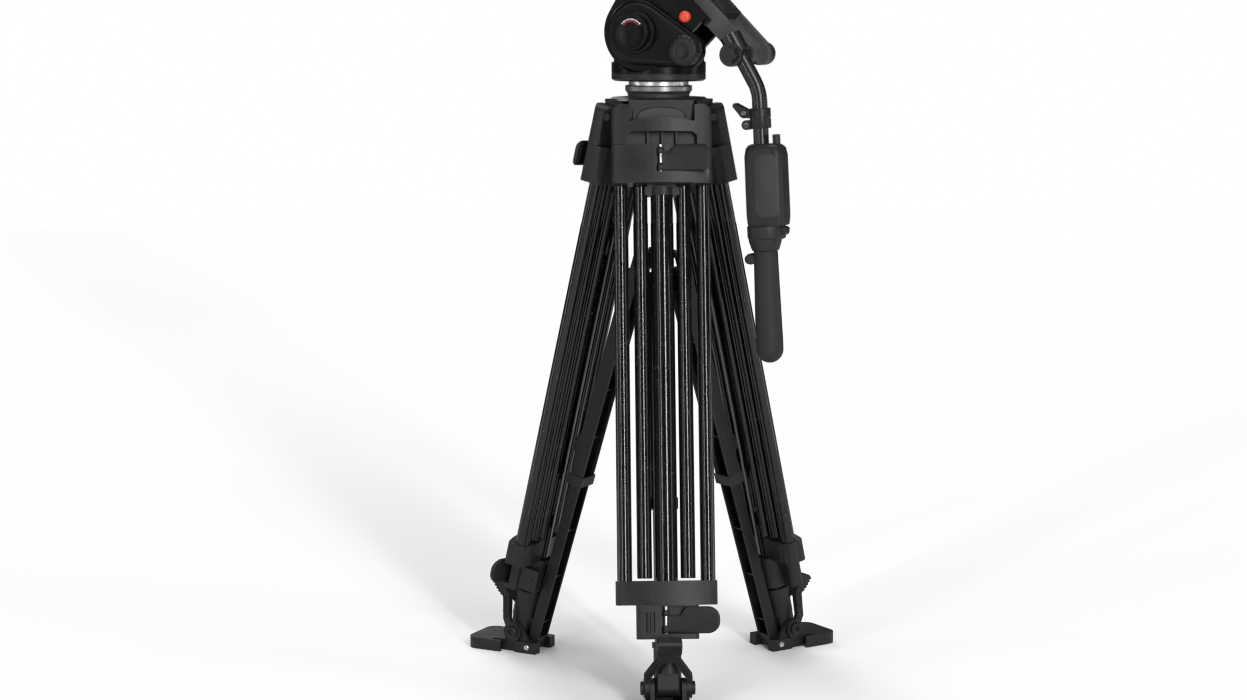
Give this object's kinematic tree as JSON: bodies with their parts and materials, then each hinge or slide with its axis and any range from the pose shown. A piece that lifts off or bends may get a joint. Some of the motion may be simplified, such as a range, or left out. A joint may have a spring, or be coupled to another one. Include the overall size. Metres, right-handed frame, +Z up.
{
  "type": "tripod with fluid head",
  "caption": "Twin-tube video tripod with mid-level telescopic spreader, rubber shoes with pedals, a levelling half ball and a fluid head with pan bar and remote handle.",
  "frame": {"origin": "centre of the outline on the floor; the pan axis stands 47.82 mm behind it", "axes": "+Z up, -Y towards the front leg, X across"},
  "size_m": [0.4404, 0.3881, 0.8374],
  "materials": {
    "casting": "matt charcoal",
    "tube": "glossy black anodised",
    "moulding": "matt, moulded",
    "arm": "satin black",
    "bright_metal": "turned, bright",
    "head_black": "satin black",
    "button": "orange red",
    "grip_rubber": "matt"
  },
  "bodies": {
    "crown": {"crown": "casting"},
    "leg_upper_front": {"leg_bracket_front": "casting", "upper_tubes_front": "tube"},
    "leg_middle_front": {"top_clamp_front": "casting", "middle_tubes_front": "tube", "lower_clamp_front": "casting"},
    "leg_lower_front": {"inner_tube_front": "tube", "ankle_front": "casting"},
    "top_lever_front": {"top_lever_front": "casting"},
    "lower_lever_front": {"lower_lever_front": "casting"},
    "shoe_front": {"shoe_front": "moulding"},
    "pedal_front": {"pedal_front": "moulding"},
    "arm_lower_front": {"arm_lower_front": "arm"},
    "arm_upper_front": {"arm_upper_front": "arm"},
    "arm_knob_front": {"arm_knob_front": "arm"},
    "leg_upper_right": {"leg_bracket_right": "casting", "upper_tubes_right": "tube"},
    "leg_middle_right": {"top_clamp_right": "casting", "middle_tubes_right": "tube", "lower_clamp_right": "casting"},
    "leg_lower_right": {"inner_tube_right": "tube", "ankle_right": "casting"},
    "top_lever_right": {"top_lever_right": "casting"},
    "lower_lever_right": {"lower_lever_right": "casting"},
    "shoe_right": {"shoe_right": "moulding"},
    "pedal_right": {"pedal_right": "moulding"},
    "arm_lower_right": {"arm_lower_right": "arm"},
    "arm_upper_right": {"arm_upper_right": "arm"},
    "arm_knob_right": {"arm_knob_right": "arm"},
    "leg_upper_left": {"leg_bracket_left": "casting", "upper_tubes_left": "tube"},
    "leg_middle_left": {"top_clamp_left": "casting", "middle_tubes_left": "tube", "lower_clamp_left": "casting"},
    "leg_lower_left": {"inner_tube_left": "tube", "ankle_left": "casting"},
    "top_lever_left": {"top_lever_left": "casting"},
    "lower_lever_left": {"lower_lever_left": "casting"},
    "shoe_left": {"shoe_left": "moulding"},
    "pedal_left": {"pedal_left": "moulding"},
    "arm_lower_left": {"arm_lower_left": "arm"},
    "arm_upper_left": {"arm_upper_left": "arm"},
    "arm_knob_left": {"arm_knob_left": "arm"},
    "spreader_hub": {"spreader_hub": "arm"},
    "ball_unit": {"half_ball": "bright_metal", "pan_base": "casting"},
    "tie_down_knob": {"tie_down_knob": "moulding"},
    "head": {"head_body": "head_black", "side_covers": "head_black"},
    "drag_dial": {"drag_dial": "moulding"},
    "lock_knob": {"lock_knob": "moulding"},
    "cradle": {"cradle": "casting"},
    "camera_plate": {"camera_plate": "casting"},
    "release_button": {"release_button": "button"},
    "pan_handle": {"pan_bar": "tube", "remote_housing": "head_black", "grip": "grip_rubber"},
    "rosette_knob": {"rosette_knob": "moulding"},
    "remote_clamp": {"remote_clamp": "head_black"},
    "zoom_wheel": {"zoom_wheel": "grip_rubber"}
  },
  "joints": [
    {"name": "leg_spread", "type": "hinge", "parent": "crown", "child": "leg_upper_front", "pos_m": [0, 0.00982, 0.642], "axis": [-1, 0, 0], "range_deg": [-8, 3]},
    {"name": "upper_extend", "type": "slide", "parent": "leg_upper_front", "child": "leg_middle_front", "axis": [0, -0.2267, -0.974], "range_m": [0, 0.38]},
    {"name": "lower_extend", "type": "slide", "parent": "leg_middle_front", "child": "leg_lower_front", "axis": [0, -0.2267, -0.974], "range_m": [0, 0.36]},
    {"name": "shoe_swivel_front", "type": "hinge", "parent": "leg_lower_front", "child": "shoe_front", "pos_m": [0, -0.13388, 0.0245], "axis": [-1, 0, 0], "range_deg": [-5, 5]},
    {"name": "arm_fold_front", "type": "hinge", "parent": "shoe_front", "child": "arm_lower_front", "pos_m": [0, -0.11518, 0.007], "axis": [-1, 0, 0], "range_deg": [-1, 15]},
    {"name": "arm_extend_front", "type": "slide", "parent": "arm_lower_front", "child": "arm_upper_front", "axis": [0, 0.2872, 0.9579], "range_m": [0, 0.23]},
    {"name": "pedal_press_front", "type": "hinge", "parent": "shoe_front", "child": "pedal_front", "pos_m": [0, -0.13388, 0.0245], "axis": [1, 0, 0], "range_deg": [0, 30]},
    {"name": "top_lever_flip_front", "type": "hinge", "parent": "leg_middle_front", "child": "top_lever_front", "pos_m": [-0.002, -0.02332, 0.59889], "axis": [0, -0.2267, -0.974], "range_deg": [0, 95]},
    {"name": "lower_lever_flip_front", "type": "hinge", "parent": "leg_middle_front", "child": "lower_lever_front", "pos_m": [-0.002, -0.13404, 0.10103], "axis": [0, -0.2267, -0.974], "range_deg": [0, 95]},
    {"name": "arm_knob_turn_front", "type": "hinge", "parent": "arm_upper_front", "child": "arm_knob_front", "pos_m": [0, -0.04109, 0.25413], "axis": [0, 0.9579, -0.2872], "continuous": true},
    {"name": "leg_spread_right", "type": "hinge", "parent": "crown", "child": "leg_upper_right", "pos_m": [0.03291, 0.06682, 0.642], "axis": [0.5, -0.866, 0], "range_deg": [-8, 3]},
    {"name": "upper_extend_right", "type": "slide", "parent": "leg_upper_right", "child": "leg_middle_right", "axis": [0.1963, 0.1133, -0.974], "range_m": [0, 0.38]},
    {"name": "lower_extend_right", "type": "slide", "parent": "leg_middle_right", "child": "leg_lower_right", "axis": [0.1963, 0.1133, -0.974], "range_m": [0, 0.36]},
    {"name": "shoe_swivel_right", "type": "hinge", "parent": "leg_lower_right", "child": "shoe_right", "pos_m": [0.15735, 0.13867, 0.0245], "axis": [0.5, -0.866, 0], "range_deg": [-5, 5]},
    {"name": "arm_fold_right", "type": "hinge", "parent": "shoe_right", "child": "arm_lower_right", "pos_m": [0.14116, 0.12932, 0.007], "axis": [0.5, -0.866, 0], "range_deg": [-1, 15]},
    {"name": "arm_extend_right", "type": "slide", "parent": "arm_lower_right", "child": "arm_upper_right", "axis": [-0.2487, -0.1436, 0.9579], "range_m": [0, 0.23]},
    {"name": "pedal_press_right", "type": "hinge", "parent": "shoe_right", "child": "pedal_right", "pos_m": [0.15735, 0.13867, 0.0245], "axis": [-0.5, 0.866, 0], "range_deg": [0, 30]},
    {"name": "top_lever_flip_right", "type": "hinge", "parent": "leg_middle_right", "child": "top_lever_right", "pos_m": [0.0626, 0.08165, 0.59889], "axis": [0.1963, 0.1133, -0.974], "range_deg": [0, 95]},
    {"name": "lower_lever_flip_right", "type": "hinge", "parent": "leg_middle_right", "child": "lower_lever_right", "pos_m": [0.15849, 0.13701, 0.10103], "axis": [0.1963, 0.1133, -0.974], "range_deg": [0, 95]},
    {"name": "arm_knob_turn_right", "type": "hinge", "parent": "arm_upper_right", "child": "arm_knob_right", "pos_m": [0.077, 0.09227, 0.25413], "axis": [-0.8296, -0.4789, -0.2872], "continuous": true},
    {"name": "leg_spread_left", "type": "hinge", "parent": "crown", "child": "leg_upper_left", "pos_m": [-0.03291, 0.06682, 0.642], "axis": [0.5, 0.866, 0], "range_deg": [-8, 3]},
    {"name": "upper_extend_left", "type": "slide", "parent": "leg_upper_left", "child": "leg_middle_left", "axis": [-0.1963, 0.1133, -0.974], "range_m": [0, 0.38]},
    {"name": "lower_extend_left", "type": "slide", "parent": "leg_middle_left", "child": "leg_lower_left", "axis": [-0.1963, 0.1133, -0.974], "range_m": [0, 0.36]},
    {"name": "shoe_swivel_left", "type": "hinge", "parent": "leg_lower_left", "child": "shoe_left", "pos_m": [-0.15735, 0.13867, 0.0245], "axis": [0.5, 0.866, 0], "range_deg": [-5, 5]},
    {"name": "arm_fold_left", "type": "hinge", "parent": "shoe_left", "child": "arm_lower_left", "pos_m": [-0.14116, 0.12932, 0.007], "axis": [0.5, 0.866, 0], "range_deg": [-1, 15]},
    {"name": "arm_extend_left", "type": "slide", "parent": "arm_lower_left", "child": "arm_upper_left", "axis": [0.2487, -0.1436, 0.9579], "range_m": [0, 0.23]},
    {"name": "pedal_press_left", "type": "hinge", "parent": "shoe_left", "child": "pedal_left", "pos_m": [-0.15735, 0.13867, 0.0245], "axis": [-0.5, -0.866, 0], "range_deg": [0, 30]},
    {"name": "top_lever_flip_left", "type": "hinge", "parent": "leg_middle_left", "child": "top_lever_left", "pos_m": [-0.0606, 0.08512, 0.59889], "axis": [-0.1963, 0.1133, -0.974], "range_deg": [0, 95]},
    {"name": "lower_lever_flip_left", "type": "hinge", "parent": "leg_middle_left", "child": "lower_lever_left", "pos_m": [-0.15649, 0.14048, 0.10103], "axis": [-0.1963, 0.1133, -0.974], "range_deg": [0, 95]},
    {"name": "arm_knob_turn_left", "type": "hinge", "parent": "arm_upper_left", "child": "arm_knob_left", "pos_m": [-0.077, 0.09227, 0.25413], "axis": [0.8296, -0.4789, -0.2872], "continuous": true},
    {"name": "hub_level", "type": "hinge", "parent": "arm_upper_front", "child": "spreader_hub", "pos_m": [0, 0.02782, 0.484], "axis": [-1, 0, 0], "range_deg": [-6, 12]},
    {"name": "head_level", "type": "hinge", "parent": "crown", "child": "ball_unit", "pos_m": [0, 0.04782, 0.679], "axis": [1, 0, 0], "range_deg": [-6, 6]},
    {"name": "tie_down_turn", "type": "hinge", "parent": "ball_unit", "child": "tie_down_knob", "pos_m": [0, 0.04782, 0.679], "axis": [0, 0, 1], "continuous": true},
    {"name": "pan", "type": "hinge", "parent": "ball_unit", "child": "head", "pos_m": [0, 0.04782, 0.677], "axis": [0, 0, 1], "continuous": true},
    {"name": "drag_dial_turn", "type": "hinge", "parent": "head", "child": "drag_dial", "pos_m": [-0.00356, 0.04963, 0.737], "axis": [-0.454, -0.891, 0], "range_deg": [-150, 150]},
    {"name": "lock_knob_turn", "type": "hinge", "parent": "head", "child": "lock_knob", "pos_m": [0.05079, 0.02194, 0.717], "axis": [-0.454, -0.891, 0], "range_deg": [-90, 90]},
    {"name": "tilt", "type": "hinge", "parent": "head", "child": "cradle", "pos_m": [-0.00356, 0.04963, 0.737], "axis": [-0.454, -0.891, 0], "range_deg": [-3, 88]},
    {"name": "plate_slide", "type": "slide", "parent": "cradle", "child": "camera_plate", "axis": [0.63, -0.321, -0.7071], "range_m": [-0.01, 0.03]},
    {"name": "release_press", "type": "slide", "parent": "cradle", "child": "release_button", "axis": [0.454, 0.891, 0], "range_m": [0, 0.003]},
    {"name": "bar_angle", "type": "hinge", "parent": "cradle", "child": "pan_handle", "pos_m": [0.10102, -0.00365, 0.71296], "axis": [-0.454, -0.891, 0], "range_deg": [0, 60]},
    {"name": "rosette_knob_turn", "type": "hinge", "parent": "pan_handle", "child": "rosette_knob", "pos_m": [0.10102, -0.00365, 0.71296], "axis": [-0.454, -0.891, 0], "continuous": true},
    {"name": "clamp_slide", "type": "slide", "parent": "pan_handle", "child": "remote_clamp", "axis": [0.0466, -0.0238, -0.9986], "range_m": [0, 0.012]},
    {"name": "zoom_rock", "type": "hinge", "parent": "pan_handle", "child": "zoom_wheel", "pos_m": [0.09629, -0.06073, 0.48965], "axis": [-0.454, -0.891, 0], "range_deg": [-25, 25], "stiffness_Nm_per_rad": 0.02}
  ],
  "couplings": [
    {"joint": "shoe_swivel_front", "follows": "leg_spread", "ratio": 0.295},
    {"joint": "arm_fold_front", "follows": "upper_extend", "rad_per_m": 0.473},
    {"joint": "arm_extend_front", "follows": "lower_extend", "ratio": 0.62},
    {"joint": "leg_spread_right", "follows": "leg_spread", "ratio": 1},
    {"joint": "upper_extend_right", "follows": "upper_extend", "ratio": 1},
    {"joint": "lower_extend_right", "follows": "lower_extend", "ratio": 1},
    {"joint": "shoe_swivel_right", "follows": "leg_spread", "ratio": 0.295},
    {"joint": "arm_fold_right", "follows": "upper_extend", "rad_per_m": 0.473},
    {"joint": "arm_extend_right", "follows": "lower_extend", "ratio": 0.62},
    {"joint": "leg_spread_left", "follows": "leg_spread", "ratio": 1},
    {"joint": "upper_extend_left", "follows": "upper_extend", "ratio": 1},
    {"joint": "lower_extend_left", "follows": "lower_extend", "ratio": 1},
    {"joint": "shoe_swivel_left", "follows": "leg_spread", "ratio": 0.295},
    {"joint": "arm_fold_left", "follows": "upper_extend", "rad_per_m": 0.473},
    {"joint": "arm_extend_left", "follows": "lower_extend", "ratio": 0.62},
    {"joint": "hub_level", "follows": "leg_spread", "ratio": -1.295}
  ]
}
